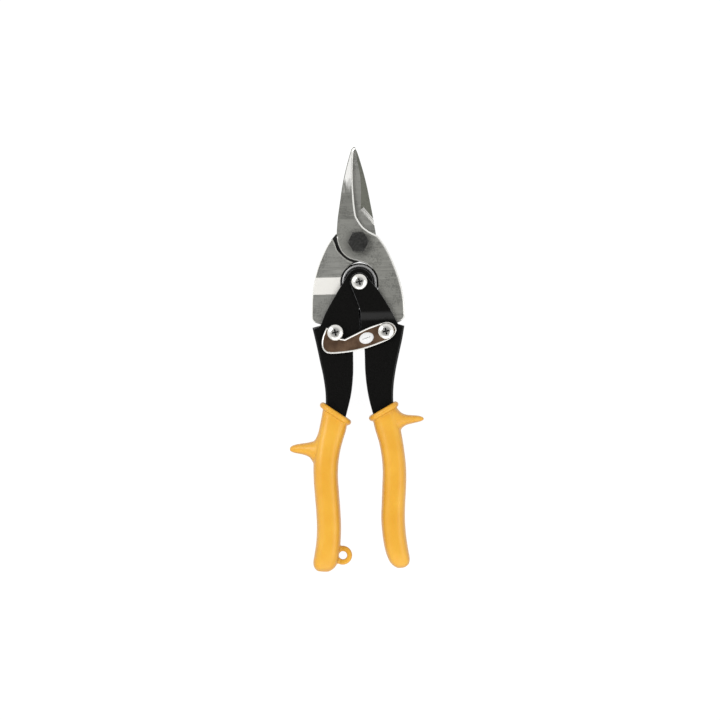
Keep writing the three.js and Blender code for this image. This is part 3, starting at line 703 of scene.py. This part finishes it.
def blade_hollow():
    """The tool shape that grinds the back blade's face away from its land towards its back."""
    ridge = [(-0.6, 58.5), (0.4, 51.0), (1.3, 45.0), (2.2, 39.0), (2.4, 33.0), (2.3, 26.0),
             (1.9, 19.8)]
    slope = 0.2
    reach = 16
    foot_along = Vector((0.62, -0.785))
    foot_out = Vector((0.785, 0.62))
    foot_reach = 17.0
    rows = [[(x, y, 0), (x + reach, y, -slope * reach)] for x, y in through(ridge, 3.0)]
    corner = Vector(ridge[-1])
    # Towards the foot of the hollow the cut rises to the full thickness in a rounded step.
    for lift, depth in ((2.2, 1.0), (1.2, 0.75), (0.5, 0.4), (0.0, 0.0), (-0.8, -0.8)):
        near = corner + foot_out * lift
        end = near + foot_along * foot_reach
        rows.append([(near.x, near.y, -0.05 * depth), (end.x, end.y, -1.9 * depth)])
    bm = bmesh.new()
    lower = [[bm.verts.new((x, y, MID - JAW_GAP + z)) for x, y, z in row] for row in rows]
    upper = [[bm.verts.new((x, y, MID + 3)) for x, y, z in row] for row in rows]
    for i in range(len(rows) - 1):
        bm.faces.new((lower[i][0], lower[i][1], lower[i + 1][1], lower[i + 1][0]))
        bm.faces.new((upper[i][0], upper[i][1], upper[i + 1][1], upper[i + 1][0]))
        for side in (0, 1):
            bm.faces.new((lower[i][side], lower[i + 1][side], upper[i + 1][side], upper[i][side]))
    bm.faces.ensure_lookup_table()
    # Faces more than 2 mm out from the foot's corner take slot 3, the darker steel; the rest take
    # the ground edge with its painted highlight.
    for face in bm.faces:
        middle = face.calc_center_median().xy - corner
        face.material_index = 3 if middle.dot(foot_out) > 2.0 else 1
    for i in (0, -1):
        bm.faces.new((lower[i][0], lower[i][1], upper[i][1], upper[i][0]))
    bmesh.ops.triangulate(bm, faces=bm.faces)
    return piece_from("hollow", bm)


NOSE_R = 0.95
nose = arc((TIP[0], TIP_Y - NOSE_R), NOSE_R, 20, 160, 10)
front_outline = weighted((nose, 0.6), (front_blade_edge, 0.5), (front_head, 0.75),
                         (tang_inside, 0.4), (right_foot, 1.0), (right_tang_edge, 1.5),
                         (front_cut, 1.2))
back_outline = weighted((nose[::-1], 0.6), (back_blade_edge, 0.5), (back_head, 0.6),
                        (mirrored(tang_inside), 0.4), (left_foot, 0.8), (left_tang_edge, 0.8),
                        (back_cut, 1.0))

front_jaw = jaw("front_jaw_forging", *front_outline, 1)
thin_to_tip(front_jaw)
finished(front_jaw, "front_jaw", "front_jaw_body", "forged_steel", FRONT_STEEL, GROUND_EDGE_HIGHLIGHT, PAINTED_REFLECTION, HOLLOW_AND_SHADE_STEEL)

back_jaw = jaw("back_jaw_forging", *back_outline, -1)
thin_to_tip(back_jaw)
machine(back_jaw, blade_hollow())
REFLECTION_LOW, REFLECTION_HIGH = -30.9, -20.8
SHADOW_HIGH = 5.0
slice_at(back_jaw, [(0, REFLECTION_LOW, 0), (0, REFLECTION_HIGH, 0), (0, SHADOW_HIGH, 0)], (0, 1, 0))
slice_at(back_jaw, [(0, 0, 0)], (1, 0, 0))
for polygon in back_jaw.data.polygons:
    middle = polygon.center / MM
    # Painted reflection: a pale band across the top of the left tang.
    if polygon.normal.z > 0.95 and REFLECTION_LOW < middle.y < REFLECTION_HIGH and middle.z > MID:
        polygon.material_index = 2
    # Painted shadow: the back jaw's mating face left of the pivot, in the trench by the front jaw's
    # head, takes the near-black material.
    if polygon.normal.z > 0.95 and middle.y < SHADOW_HIGH and abs(middle.z - MID) < 0.5:
        polygon.material_index = 4 if middle.x < 0 else 0
finished(back_jaw, "back_jaw", "back_jaw_body", "forged_steel", STEEL, GROUND_EDGE_HIGHLIGHT, PAINTED_REFLECTION, HOLLOW_AND_SHADE_STEEL, MATING_SHADOW)

# ---- Handles ----
HANDLE_END_Y = -126.0
left_outer = through([(-28.8, -50.6), (-26.5, -61.6), (-24.7, -71.2), (-22.9, -80.9),
                      (-21.9, -92.0), (-22.8, -104.0), (-26.6, HANDLE_END_Y)], 1.2)
left_inner = through([(-15.8, HANDLE_END_Y), (-13.6, -116.0), (-9.7, -102.8), (-6.6, -90.9),
                      (-5.1, -78.9), (-4.8, -66.9)], 1.2)
right_outer = through([(26.3, -50.8), (24.7, -59.0), (22.6, -67.6), (20.4, -77.2), (18.9, -86.7),
                       (18.5, -96.0), (19.4, -108.0), (21.9, HANDLE_END_Y)], 1.2)
right_inner = through([(11.4, HANDLE_END_Y), (9.6, -116.0), (6.6, -105.0), (3.6, -92.0),
                       (2.2, -79.0), (2.1, -66.9)], 1.2)
left_ear = [*through([(-4.6, -62.0), (-0.6, -57.0), (-0.6, -40.0)]),
            *arc(CROSSING, 8.2, -20, 140, 30),
            *through([(-13.4, -29.6), (-19.8, -40.2), (-24.0, -49.4)])]
right_ear = [*through([(2.0, -62.0), (0.2, -57.0), (0.2, -41.0)]), *arc(CROSSING, 5.6, 200, 35, 30),
             *through([(11.8, -29.8), (17.8, -40.0), (22.6, -49.6)])]
FOLD_R = 1.3


def handle(name, outer, inner, ear, side, crossing_r, link):
    """A folded channel: the web is the outer edge, with a rounded fold at front and back, and
    the flanges run up into the ears."""
    outline = [*outer, *inner, *ear]
    weights = [1.0] * len(outer) + [0.2] * (len(inner) + len(ear))
    # The top rounding of the inner edges and ears takes the second material, a painted edge
    # highlight.
    body = slab(name, [Vector(p) for p in outline],
                rounded(MID - FLANGE_OUT, MID + FLANGE_OUT, FOLD_R, 5), weights,
                rim=(7, 8, 9, 10), most=0.5)
    web_inside = [Vector((p[0] + side * SHEET_T, p[1])) for p in outer]
    far = 60.0  # well past the handle on both sides
    hollow = [Vector((-side * far, outer[0][1] + 0.4)), *web_inside,
              Vector((web_inside[-1].x, HANDLE_END_Y - 5)), Vector((side * far, HANDLE_END_Y - 5)),
              Vector((side * far, 20)), Vector((-side * far, 20))]
    inside = slab("hollow", hollow, rounded(MID - FLANGE_IN, MID + FLANGE_IN, 0.6, 2))
    machine(body, inside)
    drill(body, CROSSING, crossing_r, 0.15)
    return drill(body, link, LINK_HOLE_R, 0.15)


LAP_X = 1.2
LAP_LOW, LAP_HIGH = -57, -40
LAP_GAP = 0.3
BACK_EAR_R = CUTOUT_R + 0.4


def lap(name, from_x, to_x, low, high):
    """The strip behind the front gap between the handles, where one flange laps the gap."""
    outline = [(from_x, LAP_LOW), (to_x, LAP_LOW), (to_x, LAP_HIGH), (from_x, LAP_HIGH)]
    return slab(name, outline, [(MID + low, 0), (MID + high, 0)])


left_handle = handle("left_handle_channel", left_outer, left_inner, left_ear, 1, EAR_HOLE_R,
                     LEFT_LINK)
back_ear = [(EAR_HOLE_R, MID - FLANGE_OUT), (BACK_EAR_R - 0.3, MID - FLANGE_OUT),
            (BACK_EAR_R, MID - FLANGE_OUT + 0.3), (BACK_EAR_R, MID - FLANGE_IN - 0.1),
            (BACK_EAR_R - 0.1, MID - FLANGE_IN), (EAR_HOLE_R, MID - FLANGE_IN)]
machine(left_handle, turned("ear", back_ear, CROSSING), "UNION")
machine(left_handle, lap("lap", -1.5, LAP_X, -FLANGE_OUT, -FLANGE_IN), "UNION")
finished(left_handle, "left_handle", "left_handle_body", "black_paint", ENAMEL, ENAMEL_HIGHLIGHT)

right_handle = handle("right_handle_channel", right_outer, right_inner, right_ear, -1,
                      CROSSING_SCREW_R + OPEN_FIT, RIGHT_LINK)
machine(right_handle, lap("relief", -2.0, LAP_X + LAP_GAP, -FLANGE_OUT - LAP_GAP, 0))
JOGGLE_LOW, JOGGLE_HIGH = -48.0, -41.0  # where the ears step outwards over the left handle's
JOGGLE_CUTS = 8
slice_at(right_handle, [(0, JOGGLE_LOW + (JOGGLE_HIGH - JOGGLE_LOW) * i / JOGGLE_CUTS, 0)
                        for i in range(JOGGLE_CUTS + 1)], (0, 1, 0))
for vertex in right_handle.data.vertices:
    share = min(1.0, max(0.0, (vertex.co.y / MM - JOGGLE_LOW) / (JOGGLE_HIGH - JOGGLE_LOW)))
    share = share * share * (3 - 2 * share)
    vertex.co.z += math.copysign((EAR_OUT - FLANGE_OUT) * share * MM, vertex.co.z - MID * MM)
finished(right_handle, "right_handle", "right_handle_body", "black_paint", ENAMEL, ENAMEL_HIGHLIGHT)

# ---- Grips ----
GRIP_HALF = box_mm("left_grip")[1].z - MID
BEAD_R = 1.8
SECTION_SIDES = 56
RINGS_PER_ROW = 5


def section(outer, inner, half_depth, power):
    """A rounded-rectangle ring through an outer and an inner point."""
    outer, inner = Vector(outer), Vector(inner)
    centre, half = (outer + inner) / 2, (outer - inner) / 2
    ring = []
    for i in range(SECTION_SIDES):
        a = 2 * math.pi * i / SECTION_SIDES
        u = math.copysign(abs(math.cos(a)) ** (2 / power), math.cos(a))
        v = math.copysign(abs(math.sin(a)) ** (2 / power), math.sin(a))
        p = centre + half * u
        ring.append(Vector((p.x, p.y, MID + half_depth * v)))
    return ring


def dipped(name, rows, power=3.2):
    """A skin through rows of (outer point, inner point, half depth)."""
    outer, inner, depth = zip(*rows)
    lines = [evenly_through(line, RINGS_PER_ROW)
             for line in (outer, inner, [(half_depth, 0) for half_depth in depth])]
    return loft(name, [section(a, b, d.x, power) for a, b, d in zip(*lines)])


def rolled_lip(outer, inner, half_depth):
    """The rolled bead round the mouth of a grip."""
    path = section(outer, inner, half_depth, 3.2)
    centre = sum(path, Vector()) / len(path)
    rings = []
    for i, p in enumerate(path):
        along = (path[(i + 1) % len(path)] - path[i - 1]).normalized()
        out = (p - centre).normalized()
        out = (out - along * out.dot(along)).normalized()
        rings.append(round_section(p, out, along.cross(out), BEAD_R, 16))
    return loft("lip", rings, closed=True)


left_grip_rows = [
    ((-23.4, -97.4), (-9.2, -107.4), 8.6), ((-24.9, -105.0), (-10.4, -113.0), 8.9),
    ((-26.5, -112.0), (-12.3, -118.6), 9.5), ((-28.6, -121.0), (-14.2, -125.4), 10.4),
    ((-30.2, -131.0), (-15.4, -133.0), 11.2), ((-30.4, -141.0), (-15.8, -141.0), GRIP_HALF),
    ((-30.0, -150.0), (-15.4, -150.0), GRIP_HALF), ((-29.4, -160.0), (-14.9, -160.0), GRIP_HALF),
    ((-29.2, -170.0), (-14.7, -169.0), GRIP_HALF), ((-29.8, -179.0), (-15.1, -178.0), 11.3),
    ((-31.0, -186.0), (-15.9, -185.0), 10.8), ((-31.9, -191.0), (-17.2, -191.4), 9.8),
    ((-31.4, -194.2), (-19.4, -194.8), 8.0), ((-29.6, -196.4), (-22.6, -196.9), 4.6),
]
right_grip_rows = [
    ((19.4, -97.9), (5.8, -105.4), 8.6), ((20.8, -104.0), (6.9, -111.2), 8.9),
    ((22.2, -111.0), (8.1, -115.8), 9.5), ((23.7, -120.0), (9.6, -121.5), 10.4),
    ((24.8, -130.0), (10.8, -130.0), 11.2), ((25.2, -138.0), (11.1, -138.0), GRIP_HALF),
    ((24.9, -147.0), (10.6, -147.0), GRIP_HALF), ((24.1, -157.0), (10.0, -157.0), GRIP_HALF),
    ((23.7, -167.0), (9.5, -166.0), GRIP_HALF), ((24.2, -177.0), (10.0, -175.5), 11.3),
    ((25.3, -185.5), (11.3, -184.5), 10.8), ((26.0, -190.3), (13.6, -191.3), 9.6),
    ((25.2, -193.6), (16.2, -194.4), 7.6), ((23.0, -195.4), (18.6, -195.8), 4.4),
]
left_thumb_rows = [
    ((-24.6, -107.0), (-27.0, -138.0), 8.0), ((-28.6, -117.2), (-30.4, -131.6), 7.4),
    ((-32.0, -119.0), (-32.6, -128.2), 6.4), ((-35.6, -119.6), (-36.0, -126.6), 5.4),
    ((-39.8, -120.1), (-39.8, -125.7), 4.4), ((-42.6, -120.9), (-42.4, -125.0), 3.4),
    ((-44.2, -122.0), (-44.1, -124.0), 2.2),
]
right_thumb_rows = [
    ((18.3, -96.0), (20.0, -120.0), 8.0), ((21.8, -101.4), (22.4, -113.4), 7.4),
    ((25.0, -103.7), (25.4, -110.6), 6.4), ((29.3, -104.4), (29.3, -109.5), 5.4),
    ((33.2, -104.8), (33.1, -108.7), 4.4), ((35.4, -105.5), (35.3, -108.1), 3.4),
    ((36.5, -106.2), (36.5, -107.4), 2.2),
]
HANG_HOLE = (-14.0, -187.4)
HANG_HOLE_R = 2.5
HANG_TAB = (-14.2, -187.4)
MOUTH_Y = -118  # how far down the grip is hollow for its handle
VOXEL = 0.45


def grip(name, rows, thumb_rows, mouth, extras=(), holes=()):
    """One dipped grip: palm, thumb stop and rolled lip melted into one skin, and opened where
    the handle goes in."""
    body = dipped(name, rows)
    outer, inner, depth = rows[0]
    away = (Vector(outer) - Vector(inner)).normalized() * 0.5
    for extra in (dipped("thumb stop", thumb_rows, 2.4),
                  rolled_lip(Vector(outer) + away, Vector(inner) - away, depth + 0.6), *extras):
        machine(body, extra, "UNION")
    machine(body, mouth)
    for hole in holes:
        machine(body, hole)
    skin = body.modifiers.new("skin", "REMESH")
    skin.mode = "VOXEL"
    skin.voxel_size = VOXEL * MM
    soft = body.modifiers.new("soft", "SMOOTH")
    soft.factor = 0.5
    soft.iterations = 5
    return settle(body)


def mouth_tool(outer, inner):
    """The room that the handle takes in the mouth of its grip."""
    near = [p for p in [*outer, *inner] if p[1] > MOUTH_Y]
    return slab("mouth", near, rounded(MID - FLANGE_OUT - 0.15, MID + FLANGE_OUT + 0.15, 1.0))


tab = turned("tab", [(0, MID - 2), (4.8, MID - 2), (5.7, MID - 1), (5.7, MID + 1), (4.8, MID + 2),
                     (0, MID + 2)], Vector(HANG_TAB))
eye = turned("eye", [(0, MID - 9), (HANG_HOLE_R, MID - 9), (HANG_HOLE_R, MID + 9), (0, MID + 9)],
             Vector(HANG_HOLE))
left_grip = grip("left_grip_skin", left_grip_rows, left_thumb_rows,
                 mouth_tool(left_outer, left_inner), [tab], [eye])
right_grip = grip("right_grip_skin", right_grip_rows, right_thumb_rows,
                  mouth_tool(right_outer, right_inner))
finished(left_grip, "left_grip", "left_handle_body", "yellow_vinyl", VINYL, sharp=60.0)
finished(right_grip, "right_grip", "right_handle_body", "yellow_vinyl", VINYL, sharp=60.0)


# ---- Fasteners ----
HEAD_H, CROWN_H = 2.5, 1.5
RECESS_LONG, RECESS_WIDE, RECESS_DEPTH = 2.1, 0.5, 1.3
RECESS_TURN = 12  # degrees


def pan_screw(name, node, body, centre, shank_r):
    """A pan-head machine screw with a cross recess."""
    low, high = box_mm(node)
    head_r = (high.x - low.x) / 2
    head_z = high.z - HEAD_H
    crown = [(head_r * math.sin(math.radians(a)),
              head_z + HEAD_H - CROWN_H + CROWN_H * math.cos(math.radians(a)))
             for a in range(0, 91, 9)]
    profile = [(0, low.z), (shank_r - 0.3, low.z), (shank_r, low.z + 0.3), (shank_r, head_z),
               (head_r - 0.15, head_z), (head_r, head_z + 0.15), *crown[::-1][:-1], (0, high.z)]
    made = turned(name, profile, centre)
    # Painted shade: the cross recess's walls and floor take the dark oxide.
    for turn in (0, 90):
        outline = slot_outline(centre.xy, turn + RECESS_TURN, RECESS_LONG, RECESS_WIDE)
        machine(made, slab("recess", outline, [(high.z - RECESS_DEPTH, 0.15), (high.z + 0.3, 0)],
                           rim=(0,)))
    paint_floor_shade(made, centre.xy, high.z - RECESS_DEPTH, 3)
    return finished(made, node, body, "chrome", NICKEL, OXIDE_AND_RECESS_SHADE)


def hex_piece(name, node, body, slot, material, centre, across_flats, z0, z1, hole_r,
              shank=None):
    """A nut, or a bolt's head with its shank: a hexagon with its corners turned off."""
    corner_r = across_flats / math.sqrt(3)
    blank = slab(name, arc(centre, corner_r, 0, 300, 5), [(z0, 0), (z1, 0)])
    flat_r = across_flats / 2
    drop = (corner_r - flat_r) * 0.6
    lathe = turned("lathe", [(0, z0), (flat_r - 0.1, z0), (corner_r + 0.2, z0 + drop),
                             (corner_r + 0.2, z1 - drop), (flat_r - 0.1, z1), (0, z1)], centre)
    machine(blank, lathe, "INTERSECT")
    if hole_r:
        drill(blank, centre, hole_r, 0.2)
    if shank:
        shank_r, end = shank
        machine(blank, turned("shank", [(0, end), (shank_r - 0.4, end), (shank_r, end + 0.4),
                                        (shank_r, z0 + 0.5), (0, z0 + 0.5)], centre), "UNION")
    return finished(blank, node, body, slot, material, sharp=20.0)


def nut(name, node, body, slot, material, centre, screw_r):
    """A plain hexagon nut with two of its flats along X."""
    low, high = box_mm(node)
    hex_piece(name, node, body, slot, material, centre, high.y - low.y, low.z, high.z,
              screw_r + NUT_FIT)


def ring(name, node, body, slot, material, centre, inner_r):
    """A washer or a bush, its edges just broken."""
    low, high = box_mm(node)
    outer_r = (high.x - low.x) / 2
    nick = min(0.15, (high.z - low.z) / 4)
    profile = [(inner_r, low.z), (outer_r - nick, low.z), (outer_r, low.z + nick),
               (outer_r, high.z - nick), (outer_r - nick, high.z), (inner_r, high.z)]
    return finished(turned(name, profile, centre), node, body, slot, material)


for side, link in (("left", LEFT_LINK), ("right", RIGHT_LINK)):
    body = f"{side}_handle_body"
    pan_screw(f"{side}_screw", f"{side}_link_screw", body, link, LINK_SCREW_R)
    nut(f"{side}_nut", f"{side}_link_nut", body, "zinc_steel", ZINC, link, LINK_SCREW_R)
    ring(f"{side}_plain_washer", f"{side}_link_washer", body, "zinc_steel", ZINC, link,
         LINK_HOLE_R)

pan_screw("crossing_screw", "handle_pivot_screw", "left_handle_body", CROSSING, CROSSING_SCREW_R)
nut("crossing_nut", "handle_pivot_nut", "left_handle_body", "zinc_steel", ZINC, CROSSING,
    CROSSING_SCREW_R)
ring("coil_bush", "spring_bush", "left_handle_body", "zinc_steel", ZINC, CROSSING, EAR_HOLE_R)
ring("latch_spring_washer", "latch_wave_washer", "right_handle_body", "spring_steel", WIRE,
     RIGHT_LINK, LINK_HOLE_R)

low, high = box_mm("blade_pivot_bolt")
hex_piece("pivot_bolt", "blade_pivot_bolt", "back_jaw_body", "black_oxide_steel", OXIDE_AND_RECESS_SHADE,
          Vector((0, 0)), high.y - low.y, MID + JAW_T + 0.3, high.z, 0, (PIVOT_BOLT_R, low.z))
nut("pivot_nut", "blade_pivot_nut", "back_jaw_body", "black_oxide_steel", OXIDE_AND_RECESS_SHADE,
    Vector((0, 0)), PIVOT_BOLT_R)
ring("pivot_plain_washer", "blade_pivot_washer", "back_jaw_body", "zinc_steel", ZINC,
     Vector((0, 0)), PIVOT_HOLE_R)

# ---- Latch ----
LATCH_LOW = box_mm("latch")[0].z
LATCH_T = 1.6
HOOK_R = 3.9
latch_outline = [
    *through([(-20.4, -50.8), (-22.6, -55.6), (-23.5, -60.4), (-22.4, -64.4), (-18.4, -66.4),
              (-7.1, -65.8), (1.8, -64.1), (11.6, -61.0), (18.2, -58.0), (21.4, -53.6),
              (19.9, -49.9), (16.4, -48.3), (11.9, -49.1), (4.6, -51.4), (-3.4, -55.0),
              (-9.6, -57.9)], 0.6),
    *arc(LEFT_LINK, HOOK_R, -60, -180, 24),
    Vector((LEFT_LINK.x - HOOK_R + 0.5, LEFT_LINK.y + 2.6)),
]
top = LATCH_LOW + LATCH_T
latch = slab("latch_plate", latch_outline,
             [(LATCH_LOW, 0.3), (LATCH_LOW + 0.3, 0), (top - 0.5, 0), (top - 0.15, 0.15),
              (top, 0.4), (top - 0.08, 0.75), (top - 0.3, 0.95)], rim=(2, 3, 4, 5))
drill(latch, RIGHT_LINK, LINK_HOLE_R, 0.1)
finished(latch, "latch", "latch_body", "dark_nickel", LATCH_PLATE, NICKEL)

BUMP_CENTRE = Vector((3.4, -57.6))
BUMP_TURN = 18.0
BUMP_LONG, BUMP_WIDE, BUMP_HIGH = 4.4, 3.3, 1.5
BUMP_SLOT_Z = 0.35  # the slot's floor, above the latch's face


def thumb_bump():
    """The pressed oval that the thumb pushes, with the slot that the press tool leaves."""
    spin = Matrix.Rotation(math.radians(BUMP_TURN), 2)
    rings = []
    for step in range(9):
        a = math.radians(10 * step)
        ringed = []
        for i in range(48):
            b = 2 * math.pi * i / 48
            p = BUMP_CENTRE + spin @ Vector((BUMP_LONG * math.cos(a) * math.cos(b),
                                             BUMP_WIDE * math.cos(a) * math.sin(b)))
            ringed.append((p.x, p.y, top - 0.3 + BUMP_HIGH * math.sin(a)))
        rings.append(ringed)
    made = loft("latch_thumb_bump", rings)
    slot = slot_outline(BUMP_CENTRE, BUMP_TURN, 2.6, 0.4)
    machine(made, slab("slot", slot, [(top + BUMP_SLOT_Z, 0.15), (top + 3, 0)]))
    made.data.materials.append(NICKEL)
    made.data.materials.append(OXIDE_AND_RECESS_SHADE)
    # Painted shade: the slot's floor takes the dark oxide.
    paint_floor_shade(made, BUMP_CENTRE, top + BUMP_SLOT_Z, 2.8)
    made.data.shade_smooth()
    made.data.set_sharp_from_angle(angle=math.radians(40))
    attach(made, "latch_body")


thumb_bump()

# ---- Return spring ----
COIL_R = 9.6
WIRE_R = 1.0


def wire(name, node, body, path):
    """Round wire along a line of points."""
    up = Vector((0, 0, 1))
    rings = []
    for i, p in enumerate(path):
        along = (path[min(i + 1, len(path) - 1)] - path[max(i - 1, 0)]).normalized()
        out = along.cross(up).normalized()
        rings.append(round_section(p, out, along.cross(out), WIRE_R, 20))
    return finished(loft(name, rings), node, body, "spring_steel", WIRE)


def spring_path(side, foot_x, start, sweep, z0, z1):
    """A leg from the handle's web up to the coil, and then the coil's turns."""
    leg = [(foot_x, -86, 0), (side * 12.5, -77, 0), (side * 8.4, -67, z0 * 0.4),
           (side * 6.9, -56, z0 * 0.8), (side * 7.4, -44, z0), (side * COIL_R * 0.97, -32, z0),
           (side * COIL_R, CROSSING.y, z0)]
    points = through(leg, 1.5)[:-1]
    count = 96
    for i in range(count + 1):
        a = math.radians(start + sweep * i / count)
        points.append(Vector((COIL_R * math.cos(a), CROSSING.y + COIL_R * math.sin(a),
                              z0 + (z1 - z0) * i / count)))
    return [p + Vector((0, 0, MID)) for p in points]


wire("spring_coil", "return_spring", "left_handle_body",
     spring_path(-1, -17.0, 180, -540, -3.0, 0.2))
wire("spring_last_turn", "return_spring_right_leg", "right_handle_body",
     spring_path(1, 14.6, 0, 332, 3.0, 2.6))

# ---- Bench and light ----
bench_mesh = bpy.data.meshes.new("bench")
half = 6.0
bench_z = -0.1 * MM
bench_mesh.from_pydata([(-half, -half, bench_z), (half, -half, bench_z), (half, half, bench_z),
                        (-half, half, bench_z)], [], [(0, 1, 2, 3)])
bench = placed("bench", bench_mesh)
light_table, _, table_surface, _ = material_of("opal acrylic light table", 0.0, Roughness=0.9,
                                               Emission_Strength=0.98)
table_surface.inputs["Base Color"].default_value = linear("#404040")
table_surface.inputs["Emission Color"].default_value = linear("#ffffff")
bench.data.materials.append(light_table)

sky = bpy.data.worlds.new("studio")
bpy.context.scene.world = sky
sky.use_nodes = True
sky_tree = sky.node_tree
backdrop = sky_tree.nodes["Background"]
direction = add(sky_tree, "ShaderNodeTexCoord", out="Generated")
height = add(sky_tree, "ShaderNodeSeparateXYZ", {"Vector": direction}, "Z")
zenith = add(sky_tree, "ShaderNodeValToRGB", {"Fac": height},
             stops=[(0.8, "#ffffff"), (0.97, "#3c3c3c")])
sky_tree.links.new(zenith, backdrop.inputs["Color"])
backdrop.inputs["Strength"].default_value = 0.8


def soft_box(name, position, size, watts):
    """A square soft light, aimed at the middle of the tool."""
    lamp = bpy.data.lights.new(name, "AREA")
    lamp.size = size
    lamp.energy = watts
    made = placed(name, lamp)
    made.location = position
    aim = Vector((0, -0.07, 0)) - made.location
    made.rotation_mode = "QUATERNION"
    made.rotation_quaternion = aim.to_track_quat("-Z", "Y")


soft_box("key light", Vector((-0.9, 0.5, 1.3)), 0.7, 10)
soft_box("fill light", Vector((1.0, -0.4, 1.2)), 0.9, 5)
soft_box("low light", Vector((0.1, -1.3, 0.7)), 1.6, 7)
